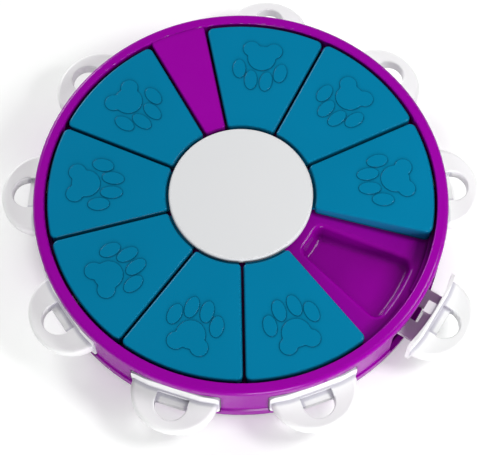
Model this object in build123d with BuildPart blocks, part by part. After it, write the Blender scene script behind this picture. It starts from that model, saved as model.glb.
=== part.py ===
"""Round sliding-block treat puzzle for dogs.

A shallow round case carries a C-shaped track with nine treat wells. Eight
hollow blocks slide round the track, one well always lies open, and a fixed
divider closes the C. At every well a D-ring handle slides radially through
the side wall; pushed fully in, its tongue enters the block beside it and
locks that block.

Units are millimetres and degrees. +Z is up, the origin is on the floor under
the middle of the toy, and the open well lies to the front right (+X, -Y).
"""

from build123d import *
from math import asin, cos, degrees, radians, sin, sqrt
import os

os.makedirs("parts", exist_ok=True)

# --- Layout of the ring --------------------------------------------------
station_count = 9  # wells, and handles in the side wall
station_pitch = 38.0  # angle from one well to the next
divider_angle = 110.0  # where the fixed divider stands
free_station = 5  # the well that no block covers
pulled_out = {free_station: 11.0, 2: -0.8}  # handles that rest off the flush place

# --- Case ----------------------------------------------------------------
overall_height = 44.0
rim_radius = 130.3  # outer edge of the top ring
rim_inner_radius = 123.0  # the track's outer wall
rim_depth = 8.0  # height of the top ring above the side wall
rim_outer_round = 3.0
rim_inner_round = 1.0
side_radius = 129.8  # outer face of the side wall
side_wall = 2.4
plate = 2.2  # moulded floors and skirt
plinth_height = 9.5  # top of the slightly wider foot of the side wall
plinth_step = 1.0
case_foot = 1.0  # the case stands this far above the table
case_round = 0.8
fit_gap = 0.3  # clearance between pieces that slide or seat

# --- Track ---------------------------------------------------------------
track_hub_height = 35.6  # height of the track floor beside the cap
track_fall = 6.8  # how far it falls to the outer wall
rail_lift = 2.2  # guide rail above the track floor
rail_height = 1.4
rail_reach = 2.4
hub_radius = 41.6
hub_wall = 3.0
cap_seat = 40.4  # the hub's top, on which the cap sits

# --- Wells ---------------------------------------------------------------
well_inner_radius = 50.5
well_outer_radius = 116.0
well_half_angle = 12.0
well_floor = 21.5
well_draft = 9.0
well_inner_corner = 5.6
well_outer_corner = 7.0
well_rim_round = 2.6
well_floor_round = 3.6

# --- Blocks --------------------------------------------------------------
block_drop = 0.6  # block tops below the rim
rim_gap = 1.6  # rim to the blocks' outer ends
side_gap = 0.8  # half of the gap between neighbours
slide_gap = 0.35  # under a block
block_wall = 2.4
block_inner_corner = 2.4
block_outer_corner = 4.0
block_edge_round = 1.6
block_rib = 1.6
block_rib_radii = (73.0, 97.0)  # ribs that run round the ring
block_rib_angles = (-6.2, 6.2)  # ribs that run outwards
flange_thickness = 2.5  # inner flange under the cap
flange_reach = 4.8

# --- Raised paw on each block, measured from the ring's axis -------------
paw_lift = 0.5
paw_edge_round = 0.35
paw_heel_out = 97.6  # its large lobe, in front
paw_heel_radius = 9.0
paw_heel_lobe_out = 103.8  # its two small lobes, behind
paw_heel_lobe_aside = 7.4
paw_heel_lobe_radius = 5.5
paw_heel_round = 1.5  # between the lobes
paw_toes = (  # distance out and aside, half length, half width, tilt
    (80.9, 4.9, 7.0, 4.1, 4.0),
    (88.1, 13.4, 6.8, 4.2, 8.0),
)

# --- Cap -----------------------------------------------------------------
cap_radius = 45.3
cap_gap = 1.7  # cap to the blocks' inner ends
cap_height = 3.8
cap_wall = 2.4
cap_round = 1.6
cap_spigot = 2.0  # how far it reaches down inside the hub
cap_screw_circle = 25.0
cap_screw_count = 3

# --- Handles -------------------------------------------------------------
handle_face_radius = 131.3  # outer face of the curved plate, at rest
handle_width = 56.0
handle_bottom = 6.4
handle_thickness = 2.4
handle_top_corner = 5.0
handle_bottom_corner = 5.0
handle_edge_round = 0.8
handle_gap = 0.4  # all round the plate
ring_height = 19.5  # middle plane of the D-ring
ring_tip_radius = 153.8
ring_width = 54.4
ring_root_half_height = 5.2
ring_tip_half_height = 4.2
ring_edge_round = 2.8
finger_width = 20.4
finger_start = 136.4
finger_depth = 10.4
finger_corner = 0.8
finger_edge_round = 0.9
scoop_depth = 3.2  # from the ring's top down to the web beside the plate
tongue_width = 8.0
tongue_thickness = 3.2
tongue_top_gap = 1.1  # below the plate's top edge
tongue_tip_gap = 1.2  # tongue tip to the blocks
notch_side_play = 2.0  # beside a locked tongue
notch_top_play = 1.7  # above it
fork_width = 34.8
fork_slot = 11.0
fork_thickness = 3.5
fork_bottom = 11.5
fork_web = 6.6  # solid part of the fork beside the plate
prong_length = 24.3
hook_reach = 1.5
hook_length = 3.0
lock_travel = 2.6  # from rest to fully pushed in

# --- Screws and feet -----------------------------------------------------
screw_radius = 1.5
screw_head_radius = 3.0
screw_head_height = 2.2
screw_slot = 0.8
screw_slot_length = 3.6
screw_clearance = 0.4
pilot_clearance = 0.05
case_screw_length = 14.0
case_screw_circle = 95.0
cap_screw_length = 7.0
boss_wall = 2.0
boss_height = 2.8
foot_count = 6  # on the circle; one more stands in the middle
foot_circle = 116.0
foot_radius = 7.0
foot_recess = 1.0
foot_round = 0.5

# --- What follows from these ---------------------------------------------
case_floor = case_foot + plate
side_top = overall_height - rim_depth
side_inner_radius = side_radius - side_wall
skirt_radius = rim_inner_radius + plate
skirt_foot = case_floor + fit_gap
screw_head_seat = case_foot + fit_gap + screw_head_height
post_foot = case_floor + boss_height
post_radius = screw_radius + boss_wall

block_top = overall_height - block_drop
block_ceiling = block_top - block_wall
block_outer_radius = rim_inner_radius - rim_gap
block_inner_radius = cap_radius + cap_gap
block_half_angle = station_pitch / 2
rail_radius = rim_inner_radius - rail_reach

handle_top = side_top - handle_gap
handle_inner_radius = handle_face_radius - handle_thickness
ring_root_radius = handle_inner_radius - handle_thickness  # behind the plate
tongue_tip = block_outer_radius + tongue_tip_gap
tongue_middle = handle_top - tongue_top_gap - tongue_thickness / 2
fork_middle = fork_bottom + fork_thickness / 2
prong_tip = handle_inner_radius - prong_length
prong_offset = (fork_width + fork_slot) / 4

divider_half_angle = (360.0 - station_count * station_pitch) / 2
first_station = divider_angle + divider_half_angle + station_pitch / 2
stations = [first_station + station_pitch * i for i in range(station_count)]
block_stations = [i for i in range(station_count) if i != free_station]
post_angles = [divider_angle] + [stations[i] + block_half_angle for i in (1, 3, 5, 7)]


def track_floor(radius):
    """Height of the conical track floor at a radius."""
    slope = track_fall / (rim_inner_radius - cap_radius)
    return track_hub_height - slope * (radius - cap_radius)


def polar(radius, angle):
    """Point in the plan at a radius and an angle."""
    return (radius * cos(radians(angle)), radius * sin(radians(angle)))


def sector(inner, outer, half_angle, gap=0.0, inner_corner=0.0, outer_corner=0.0):
    """Wedge along +X between two radii, its straight sides moved in by gap."""
    inner_angle = half_angle - degrees(asin(gap / inner))
    outer_angle = half_angle - degrees(asin(gap / outer))
    with BuildSketch(mode=Mode.PRIVATE) as wedge:
        with BuildLine():
            Line(polar(inner, -inner_angle), polar(outer, -outer_angle))
            ThreePointArc(
                polar(outer, -outer_angle), (outer, 0), polar(outer, outer_angle)
            )
            Line(polar(outer, outer_angle), polar(inner, inner_angle))
            ThreePointArc(
                polar(inner, inner_angle), (inner, 0), polar(inner, -inner_angle)
            )
        make_face()
        if inner_corner:
            fillet(wedge.vertices().sort_by(Axis.X)[:2], inner_corner)
        if outer_corner:
            fillet(wedge.vertices().sort_by(Axis.X)[-2:], outer_corner)
    return wedge.sketch


def above_track(gap, top):
    """Solid of revolution over the track floor, gap above it."""
    with BuildPart(mode=Mode.PRIVATE) as body:
        with BuildSketch(Plane.XZ):
            Polygon(
                (0, track_floor(0) + gap),
                (rim_radius, track_floor(rim_radius) + gap),
                (rim_radius, top),
                (0, top),
                align=None,
            )
        revolve(axis=Axis.Z)
    return body.part


def write(builder, name):
    """Label a finished piece and write it."""
    builder.part.label = name
    export_step(builder.part, f"parts/{name}.step")


# --- One treat well, its shell and its hollow ----------------------------
well_depth = track_hub_height - well_floor

with BuildPart() as well_shell:
    with BuildSketch(Plane.XY.offset(track_hub_height)):
        add(
            sector(
                well_inner_radius - plate,
                well_outer_radius + plate,
                well_half_angle,
                gap=-plate,
                inner_corner=well_inner_corner + plate,
                outer_corner=well_outer_corner + plate,
            )
        )
    extrude(amount=-(well_depth + plate), taper=well_draft)
    fillet(well_shell.faces().sort_by(Axis.Z)[0].edges(), well_floor_round)
    add(above_track(-plate / 2, 2 * overall_height), mode=Mode.SUBTRACT)

with BuildPart() as well_hollow:
    with BuildSketch(Plane.XY.offset(track_hub_height)):
        add(
            sector(
                well_inner_radius,
                well_outer_radius,
                well_half_angle,
                inner_corner=well_inner_corner,
                outer_corner=well_outer_corner,
            )
        )
    extrude(amount=-well_depth, taper=well_draft)
    fillet(well_hollow.faces().sort_by(Axis.Z)[0].edges(), well_floor_round)


def is_well_rim(edge):
    """Whether an edge is where a well's hollow breaks through the track."""
    middle = edge.center()
    radius = sqrt(middle.X**2 + middle.Y**2)
    inside = well_inner_radius - fit_gap < radius < well_outer_radius + fit_gap
    return inside and abs(middle.Z - track_floor(radius)) < fit_gap


# --- Divider -------------------------------------------------------------
# Its outer end is buried in the rim.
with BuildPart() as divider:
    with BuildSketch(Plane.XY.offset(track_floor(rim_radius))):
        add(
            sector(
                block_inner_radius,
                rim_inner_radius + block_edge_round,
                divider_half_angle,
                gap=side_gap,
                inner_corner=block_inner_corner,
            )
        )
    extrude(amount=block_top - track_floor(rim_radius))
    fillet(divider.faces().sort_by(Axis.Z)[-1].edges(), block_edge_round)
    add(above_track(-plate / 2, overall_height), mode=Mode.INTERSECT)

with BuildPart() as divider_hollow:
    with BuildSketch(Plane.XY.offset(skirt_foot)):
        add(
            sector(
                block_inner_radius + block_wall,
                rim_inner_radius - block_wall,
                divider_half_angle,
                gap=side_gap + block_wall,
            )
        )
    extrude(amount=block_ceiling - skirt_foot)

# --- Slots in the skirt for a handle's tongue and fork -------------------
with BuildPart() as skirt_slots:
    slot_start = rim_inner_radius - 2 * plate
    with BuildSketch(Plane.YZ.offset(slot_start)):
        with Locations((0, tongue_middle)):
            Rectangle(tongue_width + 2 * handle_gap, tongue_thickness + 2 * handle_gap)
        with Locations((0, fork_middle)):
            Rectangle(fork_width + 2 * handle_gap, fork_thickness + 2 * fit_gap)
    extrude(amount=skirt_radius + plate - slot_start)

# --- Top tray: rim, skirt, track, wells, divider and hub in one moulding --
# The section stands at the divider, so that the seam of the turned surfaces
# runs through no well.
section_plane = Plane(
    origin=(0, 0, 0),
    x_dir=(*polar(1, divider_angle), 0),
    z_dir=(*polar(1, divider_angle - 90), 0),
)
around = [Rotation(0, 0, angle) for angle in stations]
post_places = [polar(case_screw_circle, angle) for angle in post_angles]
foot_places = [polar(foot_circle, 360 * i / foot_count) for i in range(foot_count)]
foot_places.append((0, 0))
rail_foot = track_floor(rim_inner_radius) + rail_lift

with BuildPart() as top_tray:
    with BuildSketch(section_plane) as tray_section:
        with BuildLine():
            Polyline(
                (0, track_hub_height),
                (0, track_hub_height - plate),
                (hub_radius, track_floor(hub_radius) - plate),
                (rim_inner_radius, track_floor(rim_inner_radius) - plate),
                (rim_inner_radius, skirt_foot),
                (skirt_radius, skirt_foot),
                (skirt_radius, side_top),
                (rim_radius, side_top),
                (rim_radius, overall_height),
                (rim_inner_radius, overall_height),
                (rim_inner_radius, rail_foot + rail_height),
                (rail_radius, rail_foot + rail_height),
                (rail_radius, rail_foot),
                (rim_inner_radius, rail_foot),
                (rim_inner_radius, track_floor(rim_inner_radius)),
                (hub_radius, track_floor(hub_radius)),
                (hub_radius, cap_seat),
                (hub_radius - hub_wall, cap_seat),
                (hub_radius - hub_wall, track_hub_height),
                close=True,
            )
        make_face()
        for radius, edge_round in (
            (rim_radius, rim_outer_round),
            (rim_inner_radius, rim_inner_round),
        ):
            corners = tray_section.vertices()
            fillet(corners.sort_by_distance((radius, overall_height))[0], edge_round)
    revolve(axis=Axis.Z)
    with Locations(*around):
        add(well_shell.part)
    with Locations(Rotation(0, 0, divider_angle)):
        add(divider.part)
        add(divider_hollow.part, mode=Mode.SUBTRACT)
    with Locations(*around):
        add(well_hollow.part, mode=Mode.SUBTRACT)
    fillet(top_tray.edges(Select.LAST).filter_by(is_well_rim), well_rim_round)
    with Locations(*around):
        add(skirt_slots.part, mode=Mode.SUBTRACT)
    # Posts for the case screws; the first one stands inside the divider.
    with BuildSketch(Plane.XY.offset(post_foot)):
        with Locations(*post_places[1:]):
            Circle(post_radius)
    extrude(amount=track_floor(case_screw_circle) - plate / 2 - post_foot)
    with BuildSketch(Plane.XY.offset(post_foot)):
        with Locations(post_places[0]):
            Circle(post_radius)
    extrude(amount=block_ceiling + block_wall / 2 - post_foot)
    with BuildSketch(Plane.XY.offset(post_foot)):
        with Locations(*post_places):
            Circle(screw_radius + pilot_clearance)
    extrude(amount=case_screw_length, mode=Mode.SUBTRACT)
    with BuildSketch(Plane.XY.offset(track_hub_height)):
        with PolarLocations(cap_screw_circle, cap_screw_count):
            Circle(screw_radius + screw_clearance)
    extrude(amount=-2 * plate, mode=Mode.SUBTRACT)
write(top_tray, "top_tray")

# --- Window in the side wall for a handle's plate ------------------------
with BuildPart() as wall_window:
    window_foot = handle_bottom - handle_gap
    window_start = rim_inner_radius - 2 * plate
    with BuildSketch(Plane.YZ.offset(window_start)) as window_face:
        with Locations((0, window_foot)):
            Rectangle(
                handle_width + 2 * handle_gap,
                side_top - window_foot,
                align=(Align.CENTER, Align.MIN),
            )
        top_corners = window_face.vertices().group_by(Axis.Y)[-1]
        fillet(top_corners, handle_top_corner + handle_gap)
    extrude(amount=rim_radius + plate - window_start)

# --- Guide rails under a fork's prongs -----------------------------------
with BuildPart() as prong_guides:
    guide_start = prong_tip - lock_travel / 2
    guide_end = rim_inner_radius - plate
    with BuildSketch(Plane.XY.offset(case_floor - plate / 2)):
        with Locations((guide_start, prong_offset), (guide_start, -prong_offset)):
            Rectangle(
                guide_end - guide_start, side_wall, align=(Align.MIN, Align.CENTER)
            )
    extrude(amount=fork_bottom - fit_gap - case_floor + plate / 2)

# --- Base shell: floor and side wall -------------------------------------
with BuildPart() as base_shell:
    with BuildSketch(section_plane) as base_section:
        with BuildLine():
            Polyline(
                (0, case_foot),
                (side_radius + plinth_step, case_foot),
                (side_radius + plinth_step, plinth_height),
                (side_radius, plinth_height + plinth_step),
                (side_radius, side_top),
                (side_inner_radius, side_top),
                (side_inner_radius, case_floor),
                (0, case_floor),
                close=True,
            )
        make_face()
        corners = base_section.vertices()
        foot_corner = corners.sort_by_distance((side_radius + plinth_step, case_foot))[0]
        fillet(foot_corner, case_round)
    revolve(axis=Axis.Z)
    with Locations(*around):
        add(wall_window.part, mode=Mode.SUBTRACT)
    with Locations(*around):
        add(prong_guides.part)
    # Bosses, holes and head recesses for the case screws.
    with BuildSketch(Plane.XY.offset(case_floor)):
        with Locations(*post_places):
            Circle(screw_head_radius + screw_clearance + side_wall)
    extrude(amount=boss_height)
    with BuildSketch(Plane.XY.offset(case_foot)):
        with Locations(*post_places):
            Circle(screw_radius + screw_clearance)
    extrude(amount=post_foot - case_foot, mode=Mode.SUBTRACT)
    with BuildSketch(Plane.XY.offset(case_foot)):
        with Locations(*post_places):
            Circle(screw_head_radius + screw_clearance)
    extrude(amount=screw_head_seat - case_foot, mode=Mode.SUBTRACT)
    with BuildSketch(Plane.XY.offset(case_foot)):
        with Locations(*foot_places):
            Circle(foot_radius + fit_gap)
    extrude(amount=foot_recess, mode=Mode.SUBTRACT)
write(base_shell, "base_shell")

# --- Centre cap ----------------------------------------------------------
cap_top = cap_seat + cap_height
spigot_radius = hub_radius - hub_wall - fit_gap

with BuildPart() as centre_cap:
    with BuildSketch(Plane.XZ) as cap_section:
        with BuildLine():
            Polyline(
                (0, cap_top),
                (cap_radius, cap_top),
                (cap_radius, cap_seat),
                (spigot_radius, cap_seat),
                (spigot_radius, cap_seat - cap_spigot),
                (spigot_radius - cap_wall, cap_seat - cap_spigot),
                (spigot_radius - cap_wall, cap_top - cap_wall),
                (0, cap_top - cap_wall),
                close=True,
            )
        make_face()
        corners = cap_section.vertices()
        fillet(corners.sort_by_distance((cap_radius, cap_top))[0], cap_round)
    revolve(axis=Axis.Z)
    with BuildSketch(Plane.XY.offset(track_hub_height)):
        with PolarLocations(cap_screw_circle, cap_screw_count):
            Circle(post_radius)
    extrude(amount=cap_top - cap_wall - track_hub_height)
    with BuildSketch(Plane.XY.offset(track_hub_height)):
        with PolarLocations(cap_screw_circle, cap_screw_count):
            Circle(screw_radius + pilot_clearance)
    extrude(amount=cap_screw_length - plate + fit_gap, mode=Mode.SUBTRACT)
write(centre_cap, "centre_cap")


# --- Screws and feet -----------------------------------------------------
def screw(length):
    """Cross-headed screw pointing up, its head hanging below the origin."""
    with BuildPart(mode=Mode.PRIVATE) as body:
        with BuildSketch():
            Circle(screw_head_radius)
        extrude(amount=-screw_head_height)
        fillet(body.edges().group_by(Axis.Z)[0], screw_head_height / 3)
        with BuildSketch():
            Circle(screw_radius)
        extrude(amount=length)
        with BuildSketch(Plane.XY.offset(-screw_head_height)):
            Rectangle(screw_slot_length, screw_slot)
            Rectangle(screw_slot, screw_slot_length)
        extrude(amount=screw_head_height / 2, mode=Mode.SUBTRACT)
    return body.part


with BuildPart() as case_screws:
    with Locations(*[(x, y, screw_head_seat) for x, y in post_places]):
        add(screw(case_screw_length))
write(case_screws, "case_screws")

with BuildPart() as cap_screws:
    with Locations((0, 0, track_hub_height - plate)):
        with PolarLocations(cap_screw_circle, cap_screw_count):
            add(screw(cap_screw_length))
write(cap_screws, "cap_screws")

with BuildPart() as rubber_feet:
    with BuildSketch():
        with Locations(*foot_places):
            Circle(foot_radius)
    extrude(amount=case_foot + foot_recess)
    fillet(rubber_feet.edges().group_by(Axis.Z)[0], foot_round)
write(rubber_feet, "rubber_feet")

# --- Raised paw ----------------------------------------------------------
with BuildPart() as paw:
    with BuildSketch(Plane.XY.offset(block_top)):
        with BuildSketch(mode=Mode.PRIVATE) as heel:
            with Locations((paw_heel_out, 0)):
                Circle(paw_heel_radius)
            with Locations(
                (paw_heel_lobe_out, paw_heel_lobe_aside),
                (paw_heel_lobe_out, -paw_heel_lobe_aside),
            ):
                Circle(paw_heel_lobe_radius)
            # The large lobe's own seam is no corner between lobes.
            corners = heel.vertices().filter_by(
                lambda corner: abs(corner.Y) > fit_gap
                and abs(abs(corner.Y) - paw_heel_lobe_aside) < paw_heel_lobe_radius
            )
            fillet(corners, paw_heel_round)
        add(heel.sketch)
        for side in (1, -1):
            for toe_out, toe_aside, half_length, half_width, tilt in paw_toes:
                with Locations(Location((toe_out, side * toe_aside), side * tilt)):
                    Ellipse(half_length, half_width)
    extrude(amount=paw_lift)
    fillet(paw.edges().group_by(Axis.Z)[-1], paw_edge_round)
    with BuildSketch(Plane.XY.offset(block_top)):
        add(paw.faces().group_by(Axis.Z)[0])
    extrude(amount=-block_wall / 2)

# --- Sliding block -------------------------------------------------------
with BuildPart() as block_ribs:
    with BuildSketch():
        for radius in block_rib_radii:
            add(
                sector(
                    radius - block_rib / 2,
                    radius + block_rib / 2,
                    block_half_angle,
                    gap=side_gap + block_wall / 2,
                )
            )
        for angle in block_rib_angles:
            with Locations(Location((0, 0, 0), (0, 0, angle))):
                with Locations((block_inner_radius + block_wall / 2, 0)):
                    Rectangle(
                        block_outer_radius - block_inner_radius - block_wall,
                        block_rib,
                        align=(Align.MIN, Align.CENTER),
                    )
    extrude(amount=block_top - block_wall / 2)
    add(above_track(slide_gap, overall_height), mode=Mode.INTERSECT)

with BuildPart() as block_blank:
    add(above_track(slide_gap, block_top))
    with BuildSketch():
        add(
            sector(
                block_inner_radius,
                block_outer_radius,
                block_half_angle,
                gap=side_gap,
                inner_corner=block_inner_corner,
                outer_corner=block_outer_corner,
            )
        )
    extrude(amount=overall_height, mode=Mode.INTERSECT)
    fillet(block_blank.faces().sort_by(Axis.Z)[-1].edges(), block_edge_round)
    with BuildSketch():
        add(
            sector(
                block_inner_radius + block_wall,
                block_outer_radius - block_wall,
                block_half_angle,
                gap=side_gap + block_wall,
                outer_corner=block_outer_corner - block_wall,
            )
        )
    extrude(amount=block_ceiling, mode=Mode.SUBTRACT)
    add(block_ribs.part)
    # Inner flange that slides in the groove under the cap.
    with BuildSketch(Plane.XY.offset(cap_seat - fit_gap - flange_thickness)):
        add(
            sector(
                block_inner_radius - flange_reach,
                block_inner_radius + block_wall,
                block_half_angle,
                gap=side_gap + block_inner_corner / 2,
            )
        )
    extrude(amount=flange_thickness)
    # Groove that rides on the rail of the outer wall.
    with BuildSketch(Plane.XY.offset(rail_foot - fit_gap)):
        Circle(rim_radius)
        Circle(rail_radius - fit_gap, mode=Mode.SUBTRACT)
    extrude(amount=rail_height + 2 * fit_gap, mode=Mode.SUBTRACT)
    # Notch in the outer wall for the handle's tongue, open downwards.
    with BuildSketch(Plane.YZ.offset(block_outer_radius - 1.5 * block_wall)):
        Rectangle(
            tongue_width + 2 * notch_side_play,
            tongue_middle + tongue_thickness / 2 + notch_top_play,
            align=(Align.CENTER, Align.MIN),
        )
    extrude(amount=2 * block_wall, mode=Mode.SUBTRACT)
    add(paw.part)

for number, station in enumerate(block_stations, start=1):
    with BuildPart() as block:
        with Locations(Rotation(0, 0, stations[station])):
            add(block_blank.part)
    write(block, f"block_{number}")

# --- Handle --------------------------------------------------------------
with BuildPart() as handle_ring:
    with BuildSketch(Plane.XY.offset(ring_height)) as ring_plan:
        with Locations((handle_inner_radius, 0)):
            Ellipse(ring_tip_radius - handle_inner_radius, ring_width / 2)
            Rectangle(
                ring_tip_radius, ring_width, align=(Align.MAX, Align.CENTER)
            )
        Circle(handle_inner_radius + handle_thickness / 2, mode=Mode.SUBTRACT)
        with BuildSketch(mode=Mode.PRIVATE) as finger_hole:
            with Locations((finger_start, 0)):
                Ellipse(finger_depth, finger_width / 2)
                Rectangle(
                    finger_depth,
                    finger_width,
                    align=(Align.MAX, Align.CENTER),
                    mode=Mode.SUBTRACT,
                )
            fillet(finger_hole.vertices(), finger_corner)
        add(finger_hole.sketch, mode=Mode.SUBTRACT)
    extrude(amount=ring_root_half_height, both=True)
    with BuildSketch(Plane.XZ.offset(-ring_width / 2)):
        Polygon(
            (ring_root_radius, ring_height - ring_root_half_height),
            (ring_tip_radius, ring_height - ring_tip_half_height),
            (ring_tip_radius, ring_height + ring_tip_half_height),
            (ring_root_radius, ring_height + ring_root_half_height),
            align=None,
        )
    extrude(amount=ring_width, mode=Mode.INTERSECT)
    fillet(handle_ring.edges().group_by(SortBy.LENGTH)[-1], ring_edge_round)
    finger_rims = handle_ring.edges().filter_by(
        lambda edge: edge.center().X > finger_start - fit_gap
        and abs(edge.center().Y) < finger_width / 2 + fit_gap
        and abs(edge.center().Z - ring_height) > ring_tip_half_height - fit_gap
    )
    fillet(finger_rims, finger_edge_round)
    # Scoop for a fingertip between the plate and the finger hole.
    with BuildSketch(Plane.XY.offset(ring_height + ring_root_half_height)):
        with Locations((handle_face_radius, 0)):
            Rectangle(
                finger_start + finger_edge_round - handle_face_radius,
                finger_width,
                align=(Align.MIN, Align.CENTER),
            )
    extrude(amount=-scoop_depth, mode=Mode.SUBTRACT)

with BuildPart() as handle_blank:
    with BuildSketch(Plane.YZ) as plate_face:
        with Locations((0, handle_bottom)):
            Rectangle(
                handle_width,
                handle_top - handle_bottom,
                align=(Align.CENTER, Align.MIN),
            )
        fillet(plate_face.vertices().group_by(Axis.Y)[-1], handle_top_corner)
        fillet(plate_face.vertices().group_by(Axis.Y)[0], handle_bottom_corner)
    extrude(amount=rim_radius)
    with BuildSketch():
        Circle(handle_face_radius)
        Circle(handle_inner_radius, mode=Mode.SUBTRACT)
    extrude(amount=overall_height, mode=Mode.INTERSECT)
    fillet(handle_blank.faces().sort_by(Axis.X)[-1].edges(), handle_edge_round)
    add(handle_ring.part)
    # Tongue that locks the block.
    with BuildSketch(Plane.XY.offset(tongue_middle - tongue_thickness / 2)):
        tongue_root = handle_inner_radius + handle_thickness / 2
        with Locations((tongue_tip, 0)):
            Rectangle(
                tongue_root - tongue_tip,
                tongue_width,
                align=(Align.MIN, Align.CENTER),
            )
    extrude(amount=tongue_thickness)
    # Fork that guides the handle and keeps it from falling out.
    with BuildSketch(Plane.XY.offset(fork_bottom)) as fork:
        with Locations((prong_tip, 0)):
            Rectangle(
                handle_inner_radius + handle_thickness / 4 - prong_tip,
                fork_width,
                align=(Align.MIN, Align.CENTER),
            )
            Rectangle(
                prong_length - fork_web,
                fork_slot,
                align=(Align.MIN, Align.CENTER),
                mode=Mode.SUBTRACT,
            )
        for side in (1, -1):
            Polygon(
                (prong_tip, side * fork_width / 2),
                (prong_tip + hook_length, side * (fork_width / 2 + hook_reach)),
                (prong_tip + hook_length, side * fork_width / 2),
                align=None,
            )
    extrude(amount=fork_thickness)

for number, angle in enumerate(stations, start=1):
    out = pulled_out.get(number - 1, 0.0)
    with BuildPart() as handle:
        with Locations(Rotation(0, 0, angle) * Pos(out, 0, 0)):
            add(handle_blank.part)
    write(handle, f"handle_{number}")
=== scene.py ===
# %% [markdown]
# # A sliding-block treat puzzle for dogs
#
# The real toy is a shallow round case of purple polypropylene. Eight hollow blue
# blocks slide in it round a ring of nine treat wells, and nine white D-ring
# handles come out of its side wall. The frame brings each of those pieces at its
# real size, with the rounded edges that the mould gives it. Here they get the
# surfaces of moulded plastic, rubber and zinc-plated steel, a floor and lamps.

# %% Load the frame
from math import cos, pi, radians, sin

import bpy
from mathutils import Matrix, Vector

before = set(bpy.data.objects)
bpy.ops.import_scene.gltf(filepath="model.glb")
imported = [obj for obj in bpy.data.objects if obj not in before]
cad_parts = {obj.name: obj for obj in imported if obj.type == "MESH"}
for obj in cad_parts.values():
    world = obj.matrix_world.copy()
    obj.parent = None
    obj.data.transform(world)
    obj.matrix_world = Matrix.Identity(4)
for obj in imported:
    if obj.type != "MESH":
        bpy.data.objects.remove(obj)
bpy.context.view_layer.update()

# %% [markdown]
# ## The camera
#
# It stands about 0.9 m away and looks down at 66 degrees, as a person does who
# stands over the toy. It aims at the middle of the cap's height. A small shift
# sets the toy a little above the middle of the picture without tilting it.

# %% Camera
MM = 0.001
CAMERA_ELEVATION = 65.87  # degrees above the floor
CAMERA_DISTANCE = 0.9027
CAMERA_AIM = Vector((0, 0, 0.044))
CAMERA_LENS = 107.7  # mm on a sensor 36 mm wide
CAMERA_SHIFT = (0.0003, -0.0714)

camera_data = bpy.data.cameras.new("camera")
camera_data.lens = CAMERA_LENS
camera_data.sensor_width = 36.0
camera_data.shift_x, camera_data.shift_y = CAMERA_SHIFT
camera = bpy.data.objects.new("camera", camera_data)
bpy.context.scene.collection.objects.link(camera)
elevation = radians(CAMERA_ELEVATION)
camera.location = CAMERA_AIM + CAMERA_DISTANCE * Vector((0, -cos(elevation), sin(elevation)))
camera.rotation_euler = (pi / 2 - elevation, 0, 0)
bpy.context.scene.camera = camera
bpy.context.scene.view_settings.view_transform = "Standard"
print("camera at", camera.location)

# %% [markdown]
# ## Colour and node helpers
#
# Colours are written as sRGB hex values, the way a paint program shows them, and
# the shaders work in linear light, so one function turns the one into the other.
# A second small function adds a shader node with its settings and its links, so
# that each material below reads as a list of what feeds what.


# %% Helpers for colours and nodes
def linear(hex_colour):
    """Turn an sRGB hex colour into linear red, green, blue and alpha."""
    channels = []
    for start in (0, 2, 4):
        value = int(hex_colour[start:start + 2], 16) / 255
        if value <= 0.04045:
            channels.append(value / 12.92)
        else:
            channels.append(((value + 0.055) / 1.055) ** 2.4)
    return (*channels, 1.0)


def node(tree, kind, settings=None, links=None):
    """Add a shader node, set its properties or sockets, and link its inputs."""
    added = tree.nodes.new(kind)
    for name, value in (settings or {}).items():
        if name in added.inputs and not hasattr(added, name):
            added.inputs[name].default_value = value
        else:
            setattr(added, name, value)
    for name, output in (links or {}).items():
        tree.links.new(output, added.inputs[name])
    return added


# %% [markdown]
# ## Moulded plastic
#
# Polypropylene and ABS leave the mould with the finish of the steel: a fine
# spark-eroded grain that softens reflections, and a faint drift of tone where
# the melt has flowed. Every plastic here has the same build. A broad noise
# shifts the colour a little, a fine noise gives the grain to the bump, and a
# middle one varies the gloss. The real grain is about 0.1 mm across and would
# vanish in the picture, so it is drawn at 0.7 mm. In inner corners, such as the
# foot of a raised paw, painted shade darkens the colour towards a darker shade
# colour, where little light gets in. How deep a point lies in a corner comes
# from the shape round it, within a few millimetres.


# %% A moulded plastic
PLASTIC_IOR = 1.49
FLOW_SIZE = 70 * MM
GLOSS_PATCH_SIZE = 18 * MM
GLOSS_DRIFT = 0.04  # how far the roughness strays either way
GRAIN_SIZE = 0.7 * MM
GRAIN_DEPTH = 0.05 * MM
# Painted shade: inner corners are darkened towards a shade colour, measured by ambient
# occlusion within this reach.
PAINTED_SHADE_REACH = 3 * MM
PAINTED_SHADE_OPENNESS = 0.8  # a corner this open, or less, has the full painted shade colour


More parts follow.
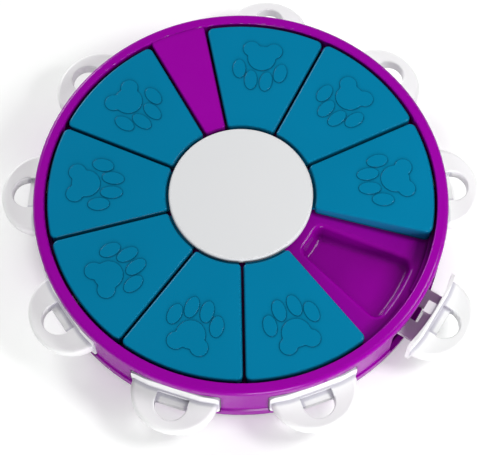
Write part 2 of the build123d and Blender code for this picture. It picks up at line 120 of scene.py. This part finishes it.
def moulded_plastic(name, colour, flow_colour, painted_shade_colour, roughness, grain, gloss_level):
    """Build a moulded plastic with flow tones, painted shade in deep corners and a fine grain.
    """
    material = bpy.data.materials.new(name)
    material.use_nodes = True
    tree = material.node_tree
    shader = tree.nodes["Principled BSDF"]
    shader.inputs["IOR"].default_value = PLASTIC_IOR
    shader.inputs["Specular IOR Level"].default_value = gloss_level
    place = node(tree, "ShaderNodeTexCoord").outputs["Object"]
    flow = node(
        tree,
        "ShaderNodeTexNoise",
        {"Scale": 1 / FLOW_SIZE, "Detail": 2.0, "Distortion": 0.6},
        {"Vector": place},
    )
    tone = node(
        tree,
        "ShaderNodeMix",
        {"data_type": "RGBA"},
        {"Factor": flow.outputs["Fac"]},
    )
    tone.inputs[6].default_value = linear(colour)
    tone.inputs[7].default_value = linear(flow_colour)
    # Painted shade: ambient occlusion darkens the colour in inner corners towards the shade
    # colour.
    openness = node(
        tree, "ShaderNodeAmbientOcclusion", {"samples": 12, "Distance": PAINTED_SHADE_REACH}
    )
    painted_shade_amount = node(
        tree,
        "ShaderNodeMapRange",
        {"From Min": PAINTED_SHADE_OPENNESS, "From Max": 1.0, "To Min": 1.0, "To Max": 0.0},
        {"Value": openness.outputs["AO"]},
    )
    painted_shade_mix = node(
        tree, "ShaderNodeMix", {"data_type": "RGBA"}, {"Factor": painted_shade_amount.outputs["Result"]}
    )
    tree.links.new(tone.outputs[2], painted_shade_mix.inputs[6])
    painted_shade_mix.inputs[7].default_value = linear(painted_shade_colour)
    tree.links.new(painted_shade_mix.outputs[2], shader.inputs["Base Color"])
    patches = node(
        tree,
        "ShaderNodeTexNoise",
        {"Scale": 1 / GLOSS_PATCH_SIZE, "Detail": 3.0},
        {"Vector": place},
    )
    gloss = node(
        tree,
        "ShaderNodeMapRange",
        {"To Min": roughness - GLOSS_DRIFT, "To Max": roughness + GLOSS_DRIFT},
        {"Value": patches.outputs["Fac"]},
    )
    tree.links.new(gloss.outputs["Result"], shader.inputs["Roughness"])
    grain_noise = node(
        tree,
        "ShaderNodeTexNoise",
        {"Scale": 1 / GRAIN_SIZE, "Detail": 2.0, "Roughness": 0.6},
        {"Vector": place},
    )
    bump = node(
        tree,
        "ShaderNodeBump",
        {"Strength": grain, "Distance": GRAIN_DEPTH},
        {"Height": grain_noise.outputs["Fac"]},
    )
    tree.links.new(bump.outputs["Normal"], shader.inputs["Normal"])
    return material


# The third colour of each plastic is its painted shade colour for inner corners.
purple_polypropylene = moulded_plastic(
    "purple_polypropylene",
    "900098",
    "9800A0",
    "74007C",
    roughness=0.2,
    grain=0.2,
    gloss_level=0.17,
)
blue_polypropylene = moulded_plastic(
    "blue_polypropylene",
    "00749A",
    "007AA3",
    "005A7A",
    roughness=0.25,
    grain=0.25,
    gloss_level=0.1,
)
white_polypropylene = moulded_plastic(
    "white_polypropylene",
    "EFEFF0",
    "F3F3F3",
    "CBC9D2",
    roughness=0.32,
    grain=0.15,
    gloss_level=0.25,
)
cap_polypropylene = moulded_plastic(
    "cap_polypropylene",
    "DADBDD",
    "DCDDDE",
    "B8B9BD",
    roughness=0.5,
    grain=0.5,
    gloss_level=0.15,
)
print("plastics:", len(bpy.data.materials))

# %% [markdown]
# ## Rubber feet and steel screws
#
# The feet are matt black thermoplastic rubber, and the screws are zinc plated:
# a metal with a slightly blotched, satin shine. Both are seen from below only.


# %% Rubber and zinc-plated steel
def foot_rubber_material():
    """Build a matt black rubber with a fine tooth."""
    material = bpy.data.materials.new("foot_rubber")
    material.use_nodes = True
    tree = material.node_tree
    shader = tree.nodes["Principled BSDF"]
    shader.inputs["Base Color"].default_value = linear("262628")
    shader.inputs["Roughness"].default_value = 0.8
    place = node(tree, "ShaderNodeTexCoord").outputs["Object"]
    tooth = node(
        tree, "ShaderNodeTexNoise", {"Scale": 1 / (0.5 * MM), "Detail": 3.0}, {"Vector": place}
    )
    bump = node(
        tree,
        "ShaderNodeBump",
        {"Strength": 0.4, "Distance": 0.08 * MM},
        {"Height": tooth.outputs["Fac"]},
    )
    tree.links.new(bump.outputs["Normal"], shader.inputs["Normal"])
    return material


def zinc_plate_material():
    """Build the blotched satin shine of zinc-plated steel."""
    material = bpy.data.materials.new("zinc_plated_steel")
    material.use_nodes = True
    tree = material.node_tree
    shader = tree.nodes["Principled BSDF"]
    shader.inputs["Base Color"].default_value = linear("B9BCBF")
    shader.inputs["Metallic"].default_value = 1.0
    place = node(tree, "ShaderNodeTexCoord").outputs["Object"]
    blotch = node(
        tree, "ShaderNodeTexVoronoi", {"Scale": 1 / (1.2 * MM)}, {"Vector": place}
    )
    shine = node(
        tree,
        "ShaderNodeMapRange",
        {"To Min": 0.28, "To Max": 0.45},
        {"Value": blotch.outputs["Distance"]},
    )
    tree.links.new(shine.outputs["Result"], shader.inputs["Roughness"])
    return material


foot_rubber = foot_rubber_material()
zinc_plated_steel = zinc_plate_material()

# %% Dress the frame's nodes
FINISHES = {
    "top_tray": purple_polypropylene,
    "base_shell": purple_polypropylene,
    "centre_cap": cap_polypropylene,
    "cap_screws": zinc_plated_steel,
    "case_screws": zinc_plated_steel,
    "rubber_feet": foot_rubber,
}
for name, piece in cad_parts.items():
    if name.startswith("block"):
        finish = blue_polypropylene
    elif name.startswith("handle"):
        finish = white_polypropylene
    else:
        finish = FINISHES[name]
    piece.data.materials.clear()
    piece.data.materials.append(finish)
print("dressed", len(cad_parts), "nodes")

# %% [markdown]
# ## Floor and light
#
# The toy lies on a white sweep under a pale sky that fills the shadows. A key lamp
# on the right makes that side a little brighter, a low rake lamp far behind on
# the left brings out the relief of the paws, and a low front lamp lights the side
# wall. The floor is darker than white, so that it keeps the soft contact shadows,
# and shows itself brighter to the camera alone. Its trace of green offsets the
# purple light that the case throws on it.

# %% Floor
FLOOR_SIZE = 6.0
FLOOR_COLOUR = (0.87, 0.885, 0.87, 1)
FLOOR_LIFT = 0.24  # extra brightness that only the camera sees

bpy.ops.object.select_all(action="DESELECT")
bpy.ops.mesh.primitive_plane_add(size=FLOOR_SIZE, location=(0, 0, 0))
floor = bpy.context.object
floor.name = "floor"
floor_material = bpy.data.materials.new("white_sweep")
floor_material.use_nodes = True
floor_tree = floor_material.node_tree
floor_shader = floor_tree.nodes["Principled BSDF"]
floor_shader.inputs["Base Color"].default_value = FLOOR_COLOUR
floor_shader.inputs["Roughness"].default_value = 0.9
floor_shader.inputs["Specular IOR Level"].default_value = 0.0
floor_shader.inputs["Emission Color"].default_value = (1, 1, 1, 1)
light_path = node(floor_tree, "ShaderNodeLightPath")
lift = node(
    floor_tree,
    "ShaderNodeMath",
    {"operation": "MULTIPLY"},
    {0: light_path.outputs["Is Camera Ray"]},
)
lift.inputs[1].default_value = FLOOR_LIFT
floor_tree.links.new(lift.outputs[0], floor_shader.inputs["Emission Strength"])
floor.data.materials.append(floor_material)


# %% Lamps and world
SKY_LEVEL = 0.38
SKY_LEVEL_IN_GLOSS = 0.05  # the dark studio round the lamps, in reflections


def soft_lamp(name, place, aim, size, power):
    """Add a square area lamp that points from a place at an aim."""
    data = bpy.data.lights.new(name, "AREA")
    data.size = size
    data.energy = power
    lamp = bpy.data.objects.new(name, data)
    bpy.context.scene.collection.objects.link(lamp)
    lamp.location = place
    lamp.rotation_euler = (Vector(aim) - Vector(place)).to_track_quat("-Z", "Y").to_euler()


soft_lamp("key", (0.62, -0.05, 0.62), (0, 0, 0), size=0.25, power=3.5)
soft_lamp("rake", (-1.5, 1.9, 1.1), (0, 0, 0.02), size=0.9, power=42.0)
soft_lamp("front", (0.3, -1.5, 0.3), (0, 0, 0.02), size=0.5, power=15.5)
world = bpy.data.worlds.new("studio")
world.use_nodes = True
sky_tree = world.node_tree
background = sky_tree.nodes["Background"]
background.inputs["Color"].default_value = (1, 1, 1, 1)
sky_path = node(sky_tree, "ShaderNodeLightPath")
sky_level = node(
    sky_tree,
    "ShaderNodeMapRange",
    {"To Min": SKY_LEVEL, "To Max": SKY_LEVEL_IN_GLOSS},
    {"Value": sky_path.outputs["Is Glossy Ray"]},
)
seen_sky = node(
    sky_tree,
    "ShaderNodeMath",
    {"operation": "MULTIPLY_ADD"},
    {0: sky_path.outputs["Is Camera Ray"], 2: sky_level.outputs["Result"]},
)
seen_sky.inputs[1].default_value = 1 - SKY_LEVEL  # the camera sees a white studio
sky_tree.links.new(seen_sky.outputs[0], background.inputs["Strength"])
bpy.context.scene.world = world
